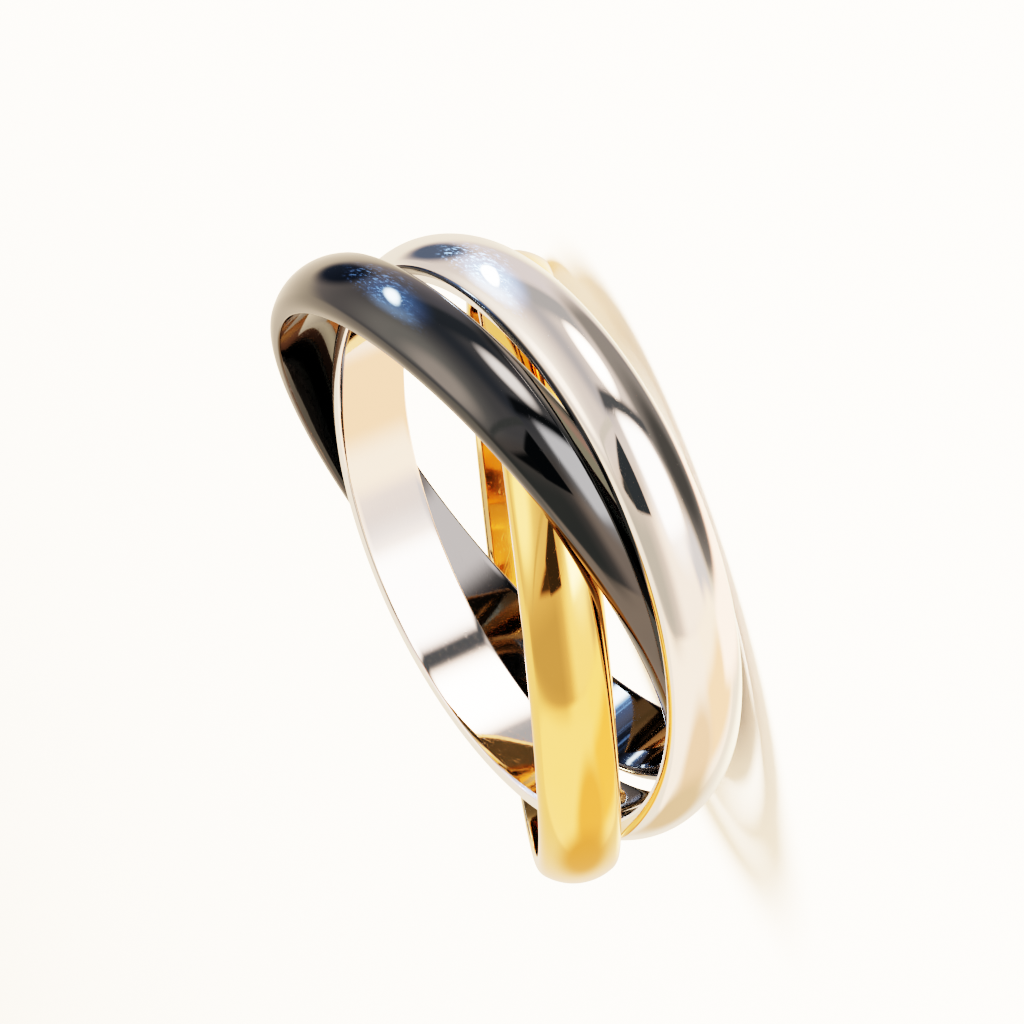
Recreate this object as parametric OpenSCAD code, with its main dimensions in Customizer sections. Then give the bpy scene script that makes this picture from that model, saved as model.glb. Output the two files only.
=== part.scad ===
// Rolling ring: three plain bands, linked in one another like the links of a chain,
// that roll over each other on the finger. All sizes are in millimetres and +Z is up.
// The ring lies on its side on z = 0, each band leaning on its own lowest point, with
// the origin under the middle of its outline.

/* [Band section] */
// Inner radius of each band
inner_radius = 9.2; // [9.1:0.05:9.4]
// Width of each band, along the band's own axis
band_width = 2.6; // [2.4:0.05:2.6]
// Thickness of each band at the crown of its dome
crown_thickness = 1; // [0.9:0.02:1]
// Radius of the dome across the middle of the band
crown_radius = 1.85; // [1.75:0.05:2.05]
// Radius of the dome where it turns down to the side wall
shoulder_radius = 0.55; // [0.45:0.05:0.6]
// Radius of the eased edges of the flat inner face
edge_radius = 0.08; // [0.04:0.01:0.1]

/* [Silver band] */
// Angle between the silver band's axis and the vertical, in degrees
silver_tilt = 17; // [16.75:0.25:17.25]
// Direction that the silver band's axis leans in, in degrees from +X
silver_lean = -103; // [-104:0.5:-102]
// Silver band's centre to the right of the middle
silver_x = 0; // [-0.05:0.01:0.05]
// Silver band's centre behind the middle
silver_y = -1.2; // [-1.25:0.01:-1.15]

/* [Black band] */
// Angle between the black band's axis and the vertical, in degrees
black_tilt = 20.5; // [20:0.25:21]
// Direction that the black band's axis leans in, in degrees from +X
black_lean = -160.5; // [-161.5:0.5:-159.5]
// Black band's centre to the right of the middle
black_x = 0.95; // [0.9:0.01:1]
// Black band's centre behind the middle
black_y = 0; // [-0.05:0.01:0.05]

/* [Gold band] */
// Angle between the gold band's axis and the vertical, in degrees
gold_tilt = 14.5; // [14.25:0.25:15]
// Direction that the gold band's axis leans in, in degrees from +X
gold_lean = 23.5; // [22.5:0.5:24.5]
// Gold band's centre to the right of the middle
gold_x = -0.95; // [-1:0.01:-0.9]
// Gold band's centre behind the middle
gold_y = 1.2; // [1.15:0.01:1.25]

/* [Hidden] */
$fn = 180;

// A band's section is drawn with x outwards from the inner face and y along the axis.
// The shoulder arcs meet the side walls and the crown arc with no crease.
half_width = band_width / 2;
crown_x = crown_thickness - crown_radius;
shoulder_y = half_width - shoulder_radius;
shoulder_x = crown_x + sqrt(pow(crown_radius - shoulder_radius, 2) - pow(shoulder_y, 2));
crown_half_angle = atan2(shoulder_y, shoulder_x - crown_x);
crown_end = [crown_x + crown_radius * cos(crown_half_angle), crown_radius * sin(crown_half_angle)];
// Half the width of the flat inner face, between its eased edges
face_half = half_width - edge_radius;

// How far a band leans over in the directions +X and +Y, as a part of its axis's length
function lean_x(tilt, lean) = sin(tilt) * cos(lean);
function lean_y(tilt, lean) = sin(tilt) * sin(lean);

// How far a band reaches from its centre towards a side, from its lean in that direction
function side_reach(share) = (inner_radius + crown_x) * sqrt(1 - pow(share, 2)) + crown_radius;

// How far a band reaches down from its centre, which is how high its centre lies
function rest_height(tilt) =
    (inner_radius + shoulder_x) * sin(tilt) + shoulder_y * cos(tilt) + shoulder_radius;

// Middle of the three bands' outline, from where they reach on each side
bands = [
    [silver_x, silver_y, silver_tilt, silver_lean],
    [black_x, black_y, black_tilt, black_lean],
    [gold_x, gold_y, gold_tilt, gold_lean]
];
right_ends = [for (b = bands) b[0] + side_reach(lean_x(b[2], b[3]))];
left_ends = [for (b = bands) b[0] - side_reach(lean_x(b[2], b[3]))];
back_ends = [for (b = bands) b[1] + side_reach(lean_y(b[2], b[3]))];
front_ends = [for (b = bands) b[1] - side_reach(lean_y(b[2], b[3]))];
middle_x = (max(right_ends) + min(left_ends)) / 2;
middle_y = (max(back_ends) + min(front_ends)) / 2;

// Section of a band: flat inside, domed outside, with thin side walls
module band_section() {
    // Crown of the dome
    intersection() {
        translate([crown_x, 0]) circle(r = crown_radius);
        polygon([
            [0, -face_half],
            [crown_end[0], -crown_end[1]],
            [crown_thickness, -crown_end[1]],
            [crown_thickness, crown_end[1]],
            [crown_end[0], crown_end[1]],
            [0, face_half]
        ]);
    }
    for (side = [-1, 1]) {
        // Shoulder of the dome, a quarter of a disc
        translate([shoulder_x, side * shoulder_y])
            intersection() {
                circle(r = shoulder_radius);
                translate([0, side > 0 ? 0 : -shoulder_radius])
                    square([shoulder_radius, shoulder_radius]);
            }
        // Eased edge of the inner face
        translate([edge_radius, side * face_half]) circle(r = edge_radius);
    }
    // Side walls and inner face
    translate([edge_radius, -half_width]) square([shoulder_x - edge_radius, band_width]);
    translate([0, -face_half]) square([shoulder_x, 2 * face_half]);
}

// One whole band, leaning by tilt towards lean, with its lowest point on z = 0
module band(x, y, tilt, lean) {
    translate([x - middle_x, y - middle_y, rest_height(tilt)])
        rotate([0, tilt, lean])
            rotate_extrude()
                translate([inner_radius, 0]) band_section();
}

module silver_band() {
    color("silver") band(silver_x, silver_y, silver_tilt, silver_lean);
}

module black_band() {
    color("dimgray") band(black_x, black_y, black_tilt, black_lean);
}

module gold_band() {
    color("gold") band(gold_x, gold_y, gold_tilt, gold_lean);
}

silver_band();
black_band();
gold_band();
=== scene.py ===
# %% [markdown]
# Rolling ring: three plain metal bands that are linked in one another. Each is the same
# polished hoop, domed outside and flat inside, in silver-coloured steel, in a black
# gunmetal coating and in yellow gold plating. The ring lies on its side on a pale table.
#
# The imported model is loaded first. It says how large the bands are and how they lie, so
# nothing below has to be placed by eye. Blender counts in metres, and MM turns a number
# of millimetres into them.

# %% Load the frame
import math

import bpy
import numpy as np
from mathutils import Matrix, Vector


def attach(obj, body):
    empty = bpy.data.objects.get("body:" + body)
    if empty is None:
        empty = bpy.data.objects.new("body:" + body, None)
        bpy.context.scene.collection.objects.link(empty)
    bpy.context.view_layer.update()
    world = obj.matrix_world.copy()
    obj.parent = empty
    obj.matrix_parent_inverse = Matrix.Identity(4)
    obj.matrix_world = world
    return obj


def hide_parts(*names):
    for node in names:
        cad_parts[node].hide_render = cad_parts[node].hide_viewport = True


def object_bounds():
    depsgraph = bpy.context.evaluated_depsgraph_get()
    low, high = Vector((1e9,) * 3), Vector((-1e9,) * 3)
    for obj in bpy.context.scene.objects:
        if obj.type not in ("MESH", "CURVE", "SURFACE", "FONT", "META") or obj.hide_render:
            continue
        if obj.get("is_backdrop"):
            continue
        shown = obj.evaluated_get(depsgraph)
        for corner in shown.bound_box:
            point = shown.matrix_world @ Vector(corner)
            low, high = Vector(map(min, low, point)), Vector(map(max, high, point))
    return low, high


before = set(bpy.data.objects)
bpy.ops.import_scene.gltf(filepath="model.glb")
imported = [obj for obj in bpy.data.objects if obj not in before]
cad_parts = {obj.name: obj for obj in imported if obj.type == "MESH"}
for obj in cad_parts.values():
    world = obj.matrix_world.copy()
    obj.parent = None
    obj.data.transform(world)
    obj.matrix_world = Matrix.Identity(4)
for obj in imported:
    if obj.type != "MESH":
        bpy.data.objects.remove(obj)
cad_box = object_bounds()
MM = 0.001
print("bands:", sorted(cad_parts))
print("size in mm:", [round((high - low) / MM, 2) for low, high in zip(*cad_box)])

# %% [markdown]
# A band is a circle in space, so five facts place it: its centre, its axis, its inner
# radius, its thickness and its width. They could be typed in, but the model already
# holds them. A ring's points spread far in its own plane and little along its axis,
# so the direction of least spread is the axis.


# %% Measure how each band lies
def mesh_points(mesh):
    """Places of all the mesh's vertices, one row each."""
    points = np.empty(len(mesh.vertices) * 3)
    mesh.vertices.foreach_get("co", points)
    return points.reshape(-1, 3)


def lie_of(node):
    """Centre, axis and section sizes of a band's solid, measured from its mesh.

    The singular vectors of the points, taken from their mean, are the band's own
    directions, and the last is its axis. The centre is half-way between the extremes
    along each direction. Radii are distances from the axis."""
    points = mesh_points(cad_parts[node].data)
    mean = points.mean(axis=0)
    directions = np.linalg.svd(points - mean, full_matrices=False)[2]
    spread = (points - mean) @ directions.T
    centre = mean + (spread.max(axis=0) + spread.min(axis=0)) / 2 @ directions
    axis = directions[2] * np.sign(directions[2][2])
    along = (points - centre) @ axis
    radius = np.linalg.norm(points - centre - np.outer(along, axis), axis=1)
    return {
        "centre": centre,
        "axis": axis,
        "inner_radius": radius.min(),
        "outer_radius": radius.max(),
        "half_width": along.max(),
    }


LIES = {node: lie_of(node) for node in ("silver_band", "black_band", "gold_band")}
for node, lie in LIES.items():
    lean = round(math.degrees(math.acos(lie["axis"][2])), 2)
    print(node, "leans", lean, "degrees, inner radius", round(lie["inner_radius"] / MM, 3), "mm")

# %% [markdown]
# The section is what makes such a band look right: a flat inner face with eased edges,
# a short side wall, a tight shoulder and a wide, shallow dome. A light glides across the
# dome as one soft line and bends sharply at the shoulder.
#
# Its sizes are written down once, and then held against what was measured.

# %% Sizes of the section
CROWN_RADIUS = 1.85 * MM
SHOULDER_RADIUS = 0.55 * MM
EDGE_RADIUS = 0.08 * MM
INNER_RADIUS = 9.2 * MM
CROWN_THICKNESS = 1.0 * MM
HALF_WIDTH = 1.3 * MM
for node, lie in LIES.items():
    off = (
        abs(lie["inner_radius"] - INNER_RADIUS),
        abs(lie["outer_radius"] - INNER_RADIUS - CROWN_THICKNESS),
        abs(lie["half_width"] - HALF_WIDTH),
    )
    print(node, "differs from these sizes by", [round(value / MM, 4) for value in off], "mm")

# %% [markdown]
# The outline could be a bevelled rectangle, but a bevel only comes near to a circle.
# Here it is a chain of true arcs and lines, and each point keeps the exact direction in
# which the surface faces. Polished metal shows the smallest error in that direction.

# %% Draw the section
FACE_POINTS = 9
EDGE_POINTS = 7
WALL_POINTS = 2
DOME_POINTS = 12


def arc(centre, radius, start, end, count):
    """Points of an arc and the way it faces: centre + radius * (cos, sin), facing (cos, sin)."""
    angle = np.linspace(start, end, count)
    facing = np.column_stack([np.cos(angle), np.sin(angle)])
    return np.array(centre) + radius * facing, facing


def line(start, end, facing, count):
    """Points spread evenly between two ends, all facing one way."""
    share = np.linspace(0, 1, count)[:, None]
    return (1 - share) * np.array(start) + share * np.array(end), np.tile(facing, (count, 1))


def band_section():
    """Closed outline of a band's section, with x out from the inner face and y along the axis.

    The upper half is a chain: inner face, eased edge, side wall, shoulder, crown. Each
    arc starts in the direction in which the last one ended. The lower half is its mirror."""
    crown_x = CROWN_THICKNESS - CROWN_RADIUS
    shoulder_y = HALF_WIDTH - SHOULDER_RADIUS
    shoulder_x = crown_x + math.sqrt((CROWN_RADIUS - SHOULDER_RADIUS) ** 2 - shoulder_y**2)
    crown_end = math.atan2(shoulder_y, shoulder_x - crown_x)
    quarter = math.pi / 2
    face_half = HALF_WIDTH - EDGE_RADIUS
    chain = [
        line((0, 0), (0, face_half), (-1, 0), FACE_POINTS),
        arc((EDGE_RADIUS, face_half), EDGE_RADIUS, 2 * quarter, quarter, EDGE_POINTS),
        line((EDGE_RADIUS, HALF_WIDTH), (shoulder_x, HALF_WIDTH), (0, 1), WALL_POINTS),
        arc((shoulder_x, shoulder_y), SHOULDER_RADIUS, quarter, crown_end, DOME_POINTS),
        arc((crown_x, 0), CROWN_RADIUS, crown_end, 0, DOME_POINTS),
    ]
    # Each link starts where the last one ended, so its first point is left out
    points = np.vstack([chain[0][0]] + [link[0][1:] for link in chain[1:]])
    facing = np.vstack([chain[0][1]] + [link[1][1:] for link in chain[1:]])
    mirrored = slice(-2, 0, -1)
    flip = np.array([1, -1])
    return np.vstack([points, points[mirrored] * flip]), np.vstack([facing, facing[mirrored] * flip])


section_points, section_facing = band_section()
thickness = section_points[:, 0].max() / MM
print("section:", len(section_points), "points,", round(thickness, 3), "mm thick")

# %% [markdown]
# A hand that polishes metal on a wheel never leaves it mathematically round. The surface
# keeps a ripple of about a thousandth of a millimetre, too small to feel, but enough to
# make the edges of reflections waver. A Displace modifier could add it from a texture.
# As part of the formula it costs nothing and closes on itself.

# %% The polisher's ripple
RIPPLE = 0.0007 * MM
# Waves round the band, waves across its section, and height as a share of RIPPLE
RIPPLE_WAVES = ((5, 2, 1.0), (9, -3, 0.8), (14, 4, 0.5), (23, -5, 0.3))


def ripple(angle, place, phase):
    """Height of the polisher's ripple: a sum of waves that run round and across the band.

    Each wave is sin(round * angle + across * place + phase). The counts are whole
    numbers, so the waves meet where the circle closes."""
    return sum(
        height * np.sin(round_count * angle + across_count * place + phase * (index + 1))
        for index, (round_count, across_count, height) in enumerate(RIPPLE_WAVES)
    )


print("ripple up to", round(RIPPLE * sum(wave[2] for wave in RIPPLE_WAVES) / MM, 4), "mm high")

# %% [markdown]
# Turning the section round the axis gives the band. Blender's Spin or Screw tools could
# do it, but they leave a seam to merge and normals to mend. As a function of two
# parameters, the angle round the axis and the place on the section, the whole surface is
# one formula over a grid, closed in both directions.

# %% Turn the section into a band
TURN_STEPS = 640


def band_surface(lie, phase):
    """The band's points on a grid: centre + (inner radius + x) * outward + y * axis.

    Outward turns round the axis with the first parameter: cos * first + sin * second,
    two directions at right angles to the axis. (x, y) goes once round the section with
    the second parameter. The ripple moves each point along its own facing."""
    axis = lie["axis"]
    first = np.cross(axis, (0, 1, 0))
    first /= np.linalg.norm(first)
    second = np.cross(axis, first)
    angle = np.arange(TURN_STEPS)[:, None] * 2 * math.pi / TURN_STEPS
    outward = (np.cos(angle) * first + np.sin(angle) * second)[:, None, :]
    place = np.arange(len(section_points))[None, :] * 2 * math.pi / len(section_points)
    facing = section_facing[None, :, :1] * outward + section_facing[None, :, 1:] * axis
    points = (
        lie["centre"]
        + (INNER_RADIUS + section_points[None, :, :1]) * outward
        + section_points[None, :, 1:] * axis
    )
    return points + RIPPLE * ripple(angle, place, phase)[:, :, None] * facing


print("each band's grid:", TURN_STEPS, "x", len(section_points), "points")

# %% [markdown]
# A grid that closes in both directions has as many faces as points. Each face joins its
# own point with the next ones round and across. np.roll counts on from the last row and
# column to the first, so there is no seam, and no loop over faces is needed.


# %% Put a closed grid into a mesh
def closed_grid_mesh(name, points):
    """Mesh of quads over a grid that wraps in both directions, smooth, facing outwards."""
    rounds, across = points.shape[:2]
    index = np.arange(rounds * across).reshape(rounds, across)
    next_across = np.roll(index, -1, axis=1)
    next_round = np.roll(index, -1, axis=0)
    next_both = np.roll(next_round, -1, axis=1)
    quads = np.stack([index, next_across, next_both, next_round], axis=-1)
    mesh = bpy.data.meshes.new(name)
    mesh.from_pydata(points.reshape(-1, 3), [], quads.reshape(-1, 4).tolist())
    mesh.polygons.foreach_set("use_smooth", np.ones(len(mesh.polygons), bool))
    mesh.update()
    return mesh


def add_piece(name, mesh):
    """An object that shows the mesh where its points are, at the origin and unturned."""
    piece = bpy.data.objects.new(name, mesh)
    bpy.context.scene.collection.objects.link(piece)
    return piece


# %% [markdown]
# A closed mesh can still be inside out. Its signed volume tells: each triangle makes a
# thin pyramid with the band's centre, and the pyramids add up to the metal's volume,
# above zero when the faces point outwards.


# %% Measure the metal
def metal_volume(mesh, lie):
    """Signed volume of a closed mesh: the sum of a . (b x c) / 6 over its triangles."""
    mesh.calc_loop_triangles()
    corners = np.empty(len(mesh.loop_triangles) * 3, np.int32)
    mesh.loop_triangles.foreach_get("vertices", corners)
    triangles = mesh_points(mesh)[corners.reshape(-1, 3)] - lie["centre"]
    crossed = np.cross(triangles[:, 1], triangles[:, 2])
    return np.einsum("ij,ij->i", triangles[:, 0], crossed).sum() / 6


# %% [markdown]
# The same steps make each of the three bands, and only where it lies and the phase of its
# ripple differ. Each takes the place of its plain solid and rides on that solid's body,
# so it turns when the band turns.

# %% Make the three bands
BODIES = {"silver_band": "silver", "black_band": "black", "gold_band": "gold"}
bands = {}
for phase, (node, body) in enumerate(BODIES.items(), start=1):
    surface = band_surface(LIES[node], phase)
    piece = add_piece(f"polished_{node}", closed_grid_mesh(f"polished_{node}", surface))
    bands[body] = piece
    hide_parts(node)
    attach(piece, body)
    volume = metal_volume(piece.data, LIES[node]) / MM**3
    print(piece.name, len(piece.data.polygons), "quads,", round(volume, 2), "cubic mm")

# %% [markdown]
# All three finishes are metal, so they share one recipe: a Principled shader with
# metallic at 1, whose base colour is the colour of its reflections. What sets polished
# metal apart from a perfect mirror is fine wear. Painted images could carry it, but nodes
# stay sharp at any distance. A few small helpers keep the node trees readable.


# %% Node helpers
def node_of(tree, kind, **settings):
    """A new shader node with its settings, such as operation or blend_type."""
    node = tree.nodes.new(kind)
    for key, value in settings.items():
        setattr(node, key, value)
    return node


def feed(tree, socket, value):
    """Links another node's output into the socket, or sets the socket to a plain value."""
    if isinstance(value, bpy.types.NodeSocket):
        tree.links.new(value, socket)
    else:
        socket.default_value = value


def calc(tree, operation, *values):
    """A Math node on its values."""
    node = node_of(tree, "ShaderNodeMath", operation=operation)
    for socket, value in zip(node.inputs, values):
        feed(tree, socket, value)
    return node.outputs["Value"]


def ramp(tree, value, low, high, to_low=0.0, to_high=1.0):
    """Smooth step: to_low below the value low, to_high above the value high."""
    node = node_of(tree, "ShaderNodeMapRange", interpolation_type="SMOOTHSTEP")
    numbers = {"From Min": low, "From Max": high, "To Min": to_low, "To Max": to_high}
    for name, number in {"Value": value, **numbers}.items():
        feed(tree, node.inputs[name], number)
    return node.outputs["Result"]


def noise(tree, vector, scale, detail=2.0, roughness=0.5):
    """A Noise Texture's value, from 0 to 1 and mostly near 0.5."""
    node = node_of(tree, "ShaderNodeTexNoise")
    numbers = {"Scale": scale, "Detail": detail, "Roughness": roughness}
    for name, number in {"Vector": vector, **numbers}.items():
        feed(tree, node.inputs[name], number)
    return node.outputs["Fac"]


def blend(tree, factor, first, second):
    """A Mix node between two colours, each a colour or another node's output."""
    node = node_of(tree, "ShaderNodeMix", data_type="RGBA")
    # A Mix node has sockets for every kind of value, and these are the colours' own
    colour_a, colour_b, result = node.inputs[6], node.inputs[7], node.outputs[2]
    feed(tree, node.inputs["Factor"], factor)
    feed(tree, colour_a, first)
    feed(tree, colour_b, second)
    return result


# %% [markdown]
# Wear follows the hoop, so it is worked out in the band's own directions. A Mapping node
# with the band's centre and turn brings the Object coordinates there.
#
# The polishing wheel leaves lines that run right round the band. They depend only on how
# far a point is from the axis and how high it lies along it, so a noise read from those
# two numbers makes closed rings.


# %% Coordinates that follow a band
def band_coordinates(tree, lie):
    """Object coordinates brought into the band's own frame, with z along its axis."""
    turn = Vector((0, 0, 1)).rotation_difference(Vector(lie["axis"])).to_matrix()
    coordinates = node_of(tree, "ShaderNodeTexCoord")
    mapping = node_of(tree, "ShaderNodeMapping", vector_type="TEXTURE")
    feed(tree, mapping.inputs["Vector"], coordinates.outputs["Object"])
    feed(tree, mapping.inputs["Location"], lie["centre"])
    feed(tree, mapping.inputs["Rotation"], turn.to_euler())
    return mapping.outputs["Vector"]


def length_of(tree, x, y):
    """Length of (x, y): the square root of x * x + y * y."""
    squares = calc(tree, "ADD", calc(tree, "MULTIPLY", x, x), calc(tree, "MULTIPLY", y, y))
    return calc(tree, "SQRT", squares)


def hoop_lines(tree, vector):
    """Radius of each point, and its radius and height as a vector for noises that make rings.

    The radius is the length of (x, y), which doesn't change round the band."""
    parts = node_of(tree, "ShaderNodeSeparateXYZ")
    feed(tree, parts.inputs["Vector"], vector)
    x, y, z = parts.outputs
    radius = length_of(tree, x, y)
    rings = node_of(tree, "ShaderNodeCombineXYZ")
    feed(tree, rings.inputs["X"], radius)
    feed(tree, rings.inputs["Y"], z)
    return radius, rings.outputs["Vector"]


# %% [markdown]
# A hairline scratch is short, straight and much longer than wide. A noise that is drawn
# out in one direction has peaks of just that shape, so only its peaks are kept. Two
# directions together look like the wear of a ring that is worn every day.
#
# The bands also have tiny round pits and specks. The cells of a Voronoi texture give
# them, and another noise picks the few that are there.

# %% Wear patterns
SCRATCH_TURNS = ((10, 25, 0), (70, -20, 40))
SCRATCH_SPACING = 0.05 * MM
SCRATCH_LENGTH = 28
SCRATCH_PEAKS = (0.72, 0.86)
PIT_SPACING = 0.14 * MM
# Radius of a pit's mark as a share of the spacing, and how many spacings a patch measures
PIT_SIZE = 0.18
PITS_ACROSS_PATCH = 6
PATCH_EDGES = (0.6, 0.66)


def scratches(tree, vector, turn):
    """Peaks of a noise that is drawn out SCRATCH_LENGTH times in one direction."""
    mapping = node_of(tree, "ShaderNodeMapping", vector_type="TEXTURE")
    feed(tree, mapping.inputs["Vector"], vector)
    feed(tree, mapping.inputs["Rotation"], [math.radians(value) for value in turn])
    feed(tree, mapping.inputs["Scale"], (SCRATCH_LENGTH, 1.0, 1.0))
    drawn_out = noise(tree, mapping.outputs["Vector"], 1 / SCRATCH_SPACING, detail=0.0)
    return ramp(tree, drawn_out, *SCRATCH_PEAKS)


def pits(tree, vector):
    """Tiny round marks: a Voronoi pattern near each cell's own point, in patches alone."""
    cells = node_of(tree, "ShaderNodeTexVoronoi")
    feed(tree, cells.inputs["Vector"], vector)
    feed(tree, cells.inputs["Scale"], 1 / PIT_SPACING)
    patch_noise = noise(tree, vector, 1 / (PITS_ACROSS_PATCH * PIT_SPACING), detail=0.0)
    marks = ramp(tree, cells.outputs["Distance"], 0.0, PIT_SIZE, 1.0, 0.0)
    return calc(tree, "MULTIPLY", marks, ramp(tree, patch_noise, *PATCH_EDGES))


def wear_marks(tree, vector):
    """Pits and scratches together: at each point the strongest of them."""
    marks = pits(tree, vector)
    for turn in SCRATCH_TURNS:
        marks = calc(tree, "MAXIMUM", marks, scratches(tree, vector, turn))
    return marks


print("scratches about", round(SCRATCH_SPACING * SCRATCH_LENGTH / MM, 2), "mm long")

# %% [markdown]
# Now the recipe itself. Wear hardly changes the colour of metal. It changes how sharply
# and where each spot reflects, so most of it goes into Roughness and, through a Bump
# node, into the Normal. Only slow changes go into the base colour: faint clouds, and a
# painted tint of its own for the inner face, which stands for the colour its reflections take there.

# %% The finish shared by the bands
LINES_PER_METRE = 9000.0
LINE_EDGES = (0.3, 0.8)
CLOUDS_PER_METRE = 260.0
CLOUD_EDGES = (0.35, 0.75)
# How far outside the inner face its painted tint starts to fade, and where it is gone
PAINTED_INNER_TINT_FADE = (0.02 * MM, 0.1 * MM)
# What the lines and the marks add to the roughness, and how they shape the bump
LINE_ROUGHNESS = 0.02
MARK_ROUGHNESS = 0.06
LINE_HEIGHT = 0.3
MARK_DEPTH = 0.5
BUMP_STRENGTH = 0.05
BUMP_DISTANCE = 0.01 * MM


def polished_metal(name, lie, colour, clouded, inside, roughness):
    """Metal with tinted reflections, polishing lines, scratches, pits and a painted inner-face tint.

    Roughness is the plain roughness plus a share of the lines and of the marks. The
    bump's height is a share of the lines less a share of the marks."""
    material = bpy.data.materials.new(name)
    material.use_nodes = True
    tree = material.node_tree
    shader = tree.nodes["Principled BSDF"]
    shader.inputs["Metallic"].default_value = 1.0
    own = band_coordinates(tree, lie)
    radius, hoop = hoop_lines(tree, own)
    lines = noise(tree, hoop, LINES_PER_METRE, detail=3.0)
    marks = wear_marks(tree, own)

    clouds = ramp(tree, noise(tree, own, CLOUDS_PER_METRE, detail=3.0), *CLOUD_EDGES)
    outer_tint = blend(tree, clouds, (*colour, 1.0), (*clouded, 1.0))
    # The inner face gets a painted tint of its own, which stands for the colour its reflections take
    # there
    fade_start, fade_end = (INNER_RADIUS + distance for distance in PAINTED_INNER_TINT_FADE)
    painted_inner_tint = ramp(tree, radius, fade_start, fade_end, 1.0, 0.0)
    feed(tree, shader.inputs["Base Color"], blend(tree, painted_inner_tint, outer_tint, (*inside, 1.0)))

    from_lines = calc(tree, "MULTIPLY", ramp(tree, lines, *LINE_EDGES), LINE_ROUGHNESS)
    from_marks = calc(tree, "MULTIPLY", marks, MARK_ROUGHNESS)
    lined = calc(tree, "ADD", roughness, from_lines)
    feed(tree, shader.inputs["Roughness"], calc(tree, "ADD", lined, from_marks))

    raised = calc(tree, "MULTIPLY", lines, LINE_HEIGHT)
    sunk = calc(tree, "MULTIPLY", marks, MARK_DEPTH)
    bump = node_of(tree, "ShaderNodeBump")
    feed(tree, bump.inputs["Strength"], BUMP_STRENGTH)
    feed(tree, bump.inputs["Distance"], BUMP_DISTANCE)
    feed(tree, bump.inputs["Height"], calc(tree, "SUBTRACT", raised, sunk))
    feed(tree, shader.inputs["Normal"], bump.outputs["Normal"])
    return material


# %% [markdown]
# Steel reflects nearly as much blue as red, so it looks silvery. Gold plating swallows
# most of the blue. On its inner face a paler painted tint stands for the colour its
# reflections take there. The gunmetal coating is a hard dark film that reflects only about
# a fifteenth of the light, slightly more of it in the blue, and still mirrors sharply.
#
# Each finish has three colours: the outside's, that of its clouds, and the painted tint of
# the inner face.

# %% Silver, black and gold
# The third colour of each finish is the painted tint of its inner face
SILVER_COLOURS = (0.83, 0.82, 0.81), (0.80, 0.79, 0.78), (0.81, 0.80, 0.80)
BLACK_COLOURS = (0.050, 0.062, 0.074), (0.055, 0.067, 0.079), (0.058, 0.067, 0.076)
GOLD_COLOURS = (1.0, 0.51, 0.16), (0.98, 0.49, 0.145), (1.0, 0.68, 0.34)
FINISHES = {
    "silver": ("silver_band", "silver_steel", "polished_steel", SILVER_COLOURS, 0.03),
    "black": ("black_band", "black_coating", "gunmetal_film", BLACK_COLOURS, 0.035),
    "gold": ("gold_band", "gold_plating", "yellow_gold", GOLD_COLOURS, 0.035),
}
for body, (node, slot, name, colours, roughness) in FINISHES.items():
    material = polished_metal(name, LIES[node], *colours, roughness)
    bands[body].data.materials.append(material)
    print(material.name, "with", len(material.node_tree.nodes), "nodes")

# %% [markdown]
# The table is a plain pale disc, so wide that its edge is out of sight. It takes the soft
# shadow that shows the ring is lying on something. A glossy board would mirror the ring,
# and matt paper doesn't. The table neither shows in the metal nor shades it, because the
# studio draws what the metal sees under it.

# %% Table
TABLE_RADIUS = 3.0
TABLE_CORNERS = 96
PAPER_COLOUR = (0.88, 0.87, 0.86)
PAPER_ROUGHNESS = 0.9
PAPER_GLOSS = 0.1
angle = np.linspace(0, 2 * math.pi, TABLE_CORNERS, endpoint=False)
rim = TABLE_RADIUS * np.column_stack([np.cos(angle), np.sin(angle), np.zeros(TABLE_CORNERS)])
table_mesh = bpy.data.meshes.new("table")
table_mesh.from_pydata(rim.tolist(), [], [list(range(TABLE_CORNERS))])
table = add_piece("table", table_mesh)
table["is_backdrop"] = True
paper = bpy.data.materials.new("pale_paper")
paper.use_nodes = True
paper_shader = paper.node_tree.nodes["Principled BSDF"]
paper_shader.inputs["Base Color"].default_value = (*PAPER_COLOUR, 1.0)
paper_shader.inputs["Roughness"].default_value = PAPER_ROUGHNESS
paper_shader.inputs["Specular IOR Level"].default_value = PAPER_GLOSS
table_mesh.materials.append(paper)
table.visible_glossy = False
table.visible_shadow = False
print("table radius", TABLE_RADIUS, "m")

# %% [markdown]
# Polished metal has next to no look of its own: it shows the studio around it. So the
# studio is drawn as a photographer sets it up, as a pale tent with bright soft boxes,
# grey walls and the dark camera in it.
#
# Area lights could stand for the boxes, but shapes with soft edges in the World cost
# nothing to sample and can have any outline. Every place in the studio is named by its
# direction as seen from the ring: degrees round from +X towards +Y, and degrees up. The
# camera stands in front, at -90 degrees, the right is at 0 and the left at 180.

# %% Directions of the studio
world = bpy.data.worlds.new("studio")
bpy.context.scene.world = world
world.use_nodes = True
sky = world.node_tree
sky.nodes.clear()
sky_direction = node_of(sky, "ShaderNodeTexCoord").outputs["Generated"]


def towards(around, up):
    """Unit vector: (cos up * cos around, cos up * sin around, sin up)."""
    around, up = math.radians(around), math.radians(up)
    return np.array([math.cos(up) * math.cos(around), math.cos(up) * math.sin(around), math.sin(up)])


def cosine_to(vector):
    """Cosine of the angle between the direction looked in and a fixed unit vector."""
    node = node_of(sky, "ShaderNodeVectorMath", operation="DOT_PRODUCT")
    feed(sky, node.inputs[0], sky_direction)
    feed(sky, node.inputs[1], vector)
    return node.outputs["Value"]


print("straight ahead of the ring is", towards(-90, 0).round(3))

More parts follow.
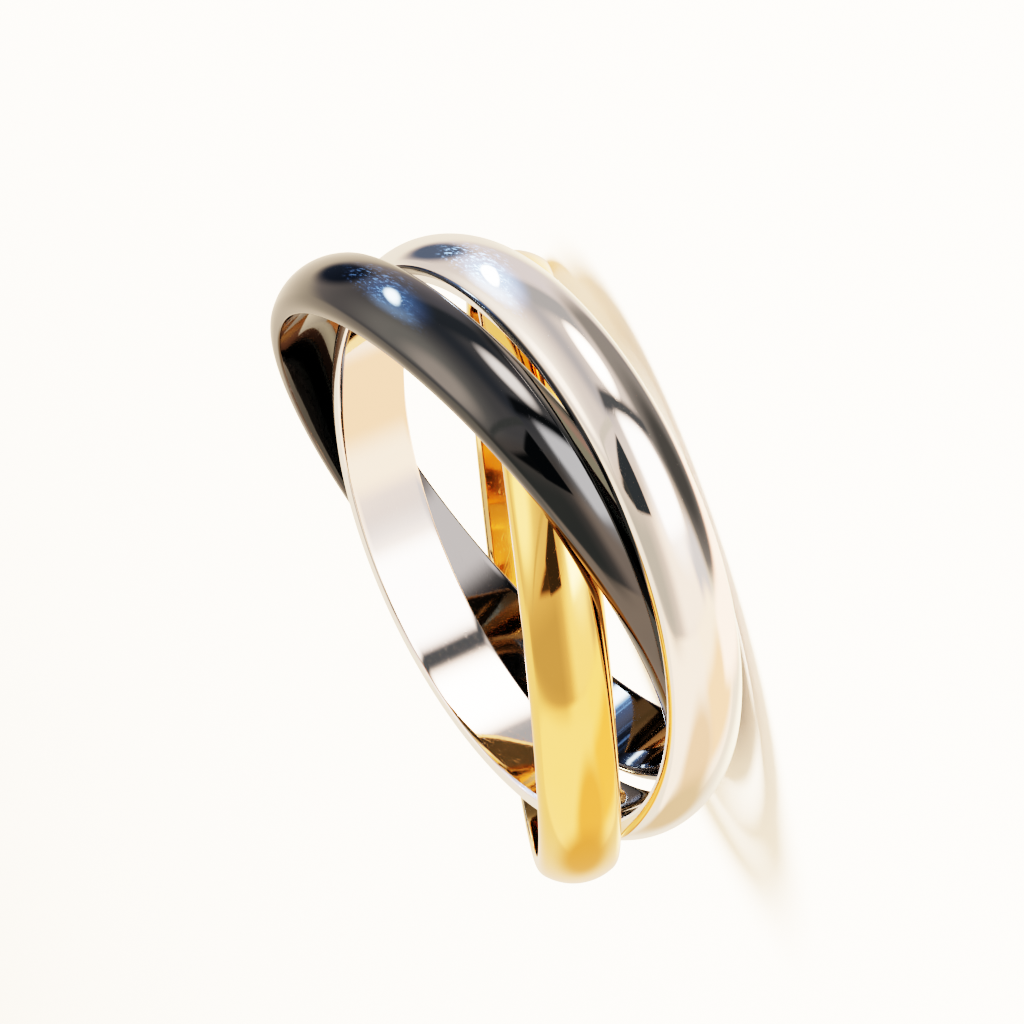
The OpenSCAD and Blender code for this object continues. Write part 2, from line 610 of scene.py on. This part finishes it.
# %% [markdown]
# Two kinds of shape are enough. A card has straight edges, such as a wall, a soft box or
# the camera. A glow is an oval that fades towards its rim, such as a lamp or the light
# that a tent spreads. Each gives a mask, and its light goes before what is behind it.

# %% Cards and glows
SIDE_FADE = 0.05


def card(corners, soft):
    """Mask of a card given by its corners: along its lower edge, then back along the upper.

    Each edge lies in a plane through the ring. The mask is the product of a smooth step
    across every such plane, soft degrees wide on both sides."""
    points = [towards(*corner) for corner in corners]
    width = math.sin(math.radians(soft))
    mask = 1.0
    for start, end in zip(points, points[1:] + points[:1]):
        normal = np.cross(start, end)
        inside = cosine_to(normal / np.linalg.norm(normal))
        mask = calc(sky, "MULTIPLY", mask, ramp(sky, inside, -width, width))
    return mask


def glow(around, up, half_width, half_height, inner=0.0, turn=0):
    """Mask of an oval light: 1 inside the share inner of its size, fading to 0 at its rim.

    Its reach is the length of (x / half width, y / half height) in the light's own plane.
    It is kept to its own side of the studio, because that plane goes on behind the ring."""
    middle = towards(around, up)
    right = np.cross((0, 0, 1), middle)
    right /= np.linalg.norm(right)
    upward = np.cross(middle, right)
    turn = math.radians(turn)
    along = math.cos(turn) * right + math.sin(turn) * upward
    across = math.cos(turn) * upward - math.sin(turn) * right
    x = calc(sky, "MULTIPLY", cosine_to(along), 1 / math.sin(math.radians(half_width)))
    y = calc(sky, "MULTIPLY", cosine_to(across), 1 / math.sin(math.radians(half_height)))
    oval = ramp(sky, length_of(sky, x, y), inner, 1.0, 1.0, 0.0)
    return calc(sky, "MULTIPLY", oval, ramp(sky, cosine_to(middle), 0.0, SIDE_FADE))


def hang(behind, shapes):
    """The picture behind with the shapes hung before it, each nearer than the one above it.

    A shape is a mask and how much red, green and blue light it gives."""
    for mask, light in shapes.values():
        behind = blend(sky, mask, behind, (*light, 1.0))
    return behind


# %% [markdown]
# The tent runs all round the ring in warm cream. Its back and left side are lit, which
# makes the right side of the silver band creamy and the gold band glow, and its front and
# right are in shade. Peach-coloured, orange and tan patches on the left break it up, as
# folds in a real tent do.

# %% The tent
TENT_CREAM = (2.0, 1.5, 1.05, 1.0)
TENT = {
    "lit roof at the back": (glow(120, 66, 70, 26, 0.5), (2.2, 1.6, 1.15)),
    "light low at the back": (glow(94, -32, 36, 20, 0.4), (4.8, 3.5, 2.1)),
    "shade in front": (
        card([(-150, -60), (-75, -64), (-75, 82), (-150, 80)], 6),
        (1.2, 0.86, 0.66),
    ),
    "shade on the right": (
        card([(-80, -64), (52, -60), (52, 82), (-80, 82)], 6),
        (1.15, 0.90, 0.76),
    ),
    "lit fold low on the left front": (
        card([(-150, -52), (-102, -52), (-97, 3), (-146, 5)], 9),
        (3.1, 2.0, 1.4),
    ),
    "grey hem under that fold": (
        card([(-150, -60), (-106, -62), (-112, -37), (-150, -36)], 5),
        (1.15, 1.0, 0.93),
    ),
    "lit left side": (glow(178, 2, 42, 70, 0.92), (3.5, 2.2, 1.45)),
    "peach-coloured fold": (
        card([(155, -50), (-139, -50), (-142, -14), (160, -18)], 5),
        (3.7, 2.2, 1.35),
    ),
    "orange fold": (
        card([(148, -46), (-160, -46), (-164, -12), (152, -14)], 7),
        (3.1, 1.28, 0.62),
    ),
    "tan patch": (glow(166, -2, 36, 22, 0.5), (2.1, 1.0, 0.52)),
    "darker tan patch": (glow(137, 2, 27, 26, 0.4), (1.3, 0.73, 0.37)),
    "lit hem at the back": (
        card([(60, -76), (178, -76), (-162, -68), (-158, -52), (170, -42), (80, -34)], 5),
        (6.5, 3.1, 2.0),
    ),
    "shaded fold high on the left front": (
        card([(-144, 16), (-98, 14), (-92, 80), (-162, 78)], 10),
        (0.70, 0.58, 0.45),
    ),
}
studio = hang(TENT_CREAM, TENT)
print("tent:", ", ".join(TENT))

# %% [markdown]
# High up on the right front is a large soft light, and below it a grey horizon. A grey
# and a paler wall stand on the right. At the bottom, painted shade of the table closes the
# studio, darkest right under the ring, and gives the bands their dark undersides.

# %% Upper light, horizon and the painted shade below
UPPER_AND_LOWER = {
    "upper light": (glow(-22, 48, 48, 40, 0.35), (2.5, 1.9, 1.45)),
    "its bright middle": (glow(-40, 52, 24, 24, 0.3), (4.8, 3.3, 2.4)),
    "horizon": (card([(-66, -10), (0, -12), (-4, 6), (-64, 4)], 9), (0.60, 0.53, 0.51)),
    "grey wall": (card([(-14, -40), (14, -38), (12, -4), (-12, -6)], 6), (0.50, 0.46, 0.44)),
    "pale wall": (card([(14, -36), (48, -33), (46, -10), (12, -12)], 6), (1.15, 0.93, 0.87)),
    # Painted shade: the table beside the ring lies in its shade, and the bands mirror it
    "painted shade of the table": (
        card([(50, -41), (15, -37), (-10, -44), (-60, -50), (-110, -63),
              (-150, -60), (-175, -66), (140, -71), (70, -64)], 7),
        (0.30, 0.26, 0.228),
    ),
    # Painted shade of the table right under the ring
    "painted shade under the ring": (glow(-50, -80, 32, 30, 0.3), (0.09, 0.084, 0.076)),
}
studio = hang(studio, UPPER_AND_LOWER)
print("above and below:", ", ".join(UPPER_AND_LOWER))

# %% [markdown]
# Two soft boxes stand low in front, on both sides of a narrow dark gap. They make the
# white streaks along the domes and the dark lines between them.

# %% Soft boxes and the gap between them
SOFT_BOXES = {
    "spill round the left box": (glow(-96, -28, 30, 30, 0.2), (4.2, 3.3, 2.8)),
    "gap": (card([(-61, -56), (-48, -56), (-49, -10), (-60, -2)], 3), (0.11, 0.11, 0.11)),
    "left box": (
        card([(-106, -49), (-80, -54), (-62, -44), (-61, -18), (-72, -13), (-106, -13)], 5),
        (10.0, 7.8, 6.6),
    ),
    "right box": (glow(-30, -31, 19, 13, 0.3), (21.0, 15.0, 11.5)),
}
studio = hang(studio, SOFT_BOXES)
print("soft boxes:", ", ".join(SOFT_BOXES))

# %% [markdown]
# The camera sees itself as a dark wedge in every band, with a pale strip beside it. On
# the right a small, cold lamp makes the star-like highlights, with a dark blue wall
# beside it. Its glass breaks the light up into bright flecks, which a fine noise over
# the lamp's glow stands for.

# %% The camera and the small blue lamp
CAMERA_AND_LAMP = {
    "pale strip": (card([(-66, -1), (-62, -2), (-92, 68), (-95, 68)], 1), (0.9, 0.75, 0.6)),
    "camera": (card([(-99, 4), (-69, 2), (-83, 27), (-97, 27)], 1), (0.05, 0.055, 0.058)),
    "top of the camera": (card([(-96, 26), (-84, 25), (-91, 48)], 2), (0.07, 0.068, 0.062)),
    "dark blue wall": (glow(40, 6, 18, 20, 0.45), (0.12, 0.145, 0.2)),
    "cold light over the lamp": (glow(2, 16, 18, 15), (3.6, 3.9, 4.6)),
    "blue spill": (glow(9, 3, 30, 21, turn=-45), (1.2, 1.75, 3.1)),
}
FLECKS_SCALE, FLECKS_DETAIL, FLECKS_ROUGHNESS = 26.0, 4.0, 0.65
FLECK_EDGES = (0.52, 0.68)
fleck_noise = noise(sky, sky_direction, FLECKS_SCALE, FLECKS_DETAIL, FLECKS_ROUGHNESS)
flecks = calc(sky, "MULTIPLY", ramp(sky, fleck_noise, *FLECK_EDGES), glow(17, 3, 44, 20, turn=-35))
CAMERA_AND_LAMP["flecks"] = (flecks, (4.5, 7.5, 13.5))
CAMERA_AND_LAMP["lamp"] = (glow(10, 4, 13, 5, 0.2, turn=-50), (60.0, 66.0, 70.0))
studio = hang(studio, CAMERA_AND_LAMP)
print("camera and lamp:", ", ".join(CAMERA_AND_LAMP))

# %% [markdown]
# The painted studio is for reflections alone. Everything else, which here means the
# table, gets one plain warm light, so no card throws a coloured patch on the floor. The
# Light Path node tells the two apart. The rays that bounce off the metal find the studio
# by themselves, so the World needs no light sampling of its own, and the render is quick.

# %% Plain light for everything but reflections
PLAIN_LIGHT = (1.0, 0.70, 0.43)
PLAIN_STRENGTH = 2.9
in_reflections = node_of(sky, "ShaderNodeBackground")
feed(sky, in_reflections.inputs["Color"], studio)
plain = node_of(sky, "ShaderNodeBackground")
feed(sky, plain.inputs["Color"], (*PLAIN_LIGHT, 1.0))
feed(sky, plain.inputs["Strength"], PLAIN_STRENGTH)
either = node_of(sky, "ShaderNodeMixShader")
feed(sky, either.inputs["Fac"], node_of(sky, "ShaderNodeLightPath").outputs["Is Glossy Ray"])
feed(sky, either.inputs[1], plain.outputs["Background"])
feed(sky, either.inputs[2], in_reflections.outputs["Background"])
feed(sky, node_of(sky, "ShaderNodeOutputWorld").inputs["Surface"], either.outputs["Shader"])
world.cycles.sampling_method = "NONE"
print("studio of", len(sky.nodes), "nodes")

# %% [markdown]
# The camera looks nearly level across the table from about 22 cm away, and it is rolled
# over, so that the lying ring stands slanting in the picture. The long lens keeps the
# bands' ovals calm, as a close-up of jewellery wants it.

# %% Camera
AIM = Vector((1.14, 0.0, 4.11)) * MM
DISTANCE = 219.3 * MM
# Degrees to the side of straight ahead, above the table, and rolled over
AROUND, UP, ROLL = 0.27, 8.71, 109.9
LENS = 242.05
SENSOR_WIDTH = 36
NEAREST, FARTHEST = 0.01, 20
camera_data = bpy.data.cameras.new("camera")
camera_data.lens = LENS
camera_data.sensor_width = SENSOR_WIDTH
camera_data.clip_start = NEAREST
camera_data.clip_end = FARTHEST
camera = bpy.data.objects.new("camera", camera_data)
bpy.context.scene.collection.objects.link(camera)
bpy.context.scene.camera = camera
around, up = math.radians(AROUND), math.radians(UP)
look = Vector((math.sin(around) * math.cos(up), math.cos(around) * math.cos(up), -math.sin(up)))
rolled = look.to_track_quat("-Z", "Y").to_matrix() @ Matrix.Rotation(math.radians(-ROLL), 3, "Z")
camera.matrix_world = Matrix.Translation(AIM - DISTANCE * look) @ rolled.to_4x4()
print("camera at", [round(value, 4) for value in camera.matrix_world.translation])

# %% [markdown]
# The studio's lights are many times brighter than its walls. A film-like tone curve rolls
# such lights off softly, where a plain one would cut them to flat white.

# %% Tone curve
view = bpy.context.scene.view_settings
view.view_transform = "Filmic"
view.look = "High Contrast"
print("tones:", view.view_transform, view.look)

# %% [markdown]
# One real lamp hangs high on the right. A sun lamp would be simpler, but a disc fades and
# softens with distance as a real soft box does. It is large, so the shadow under the ring
# has no hard edge, and the metal doesn't show it, because the studio already holds its
# lights.

# %% Soft box
LAMP_PLACE = Vector((0.33, -0.17, 0.6))
LAMP_SIZE = 0.3
LAMP_POWER = 48.0
LAMP_COLOUR = (1.0, 0.76, 0.55)
lamp_data = bpy.data.lights.new("soft_box", "AREA")
lamp_data.shape = "DISK"
lamp_data.size = LAMP_SIZE
lamp_data.energy = LAMP_POWER
lamp_data.color = LAMP_COLOUR
lamp = bpy.data.objects.new("soft_box", lamp_data)
bpy.context.scene.collection.objects.link(lamp)
facing_ring = (-LAMP_PLACE).to_track_quat("-Z", "Y").to_matrix().to_4x4()
lamp.matrix_world = Matrix.Translation(LAMP_PLACE) @ facing_ring
lamp.visible_glossy = False
print("lamp", round(LAMP_PLACE.length, 2), "m away")

# %% [markdown]
# Last, the size of the finished ring is kept beside that of the plain solids. The smooth
# bands may pass the faceted ones by a few thousandths of a millimetre, and no more.

# %% Sizes and finish
boxes = {"cad": cad_box, "visual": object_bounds()}
for name, box in boxes.items():
    print(name, [round((high - low) / MM, 3) for low, high in zip(*box)], "mm")
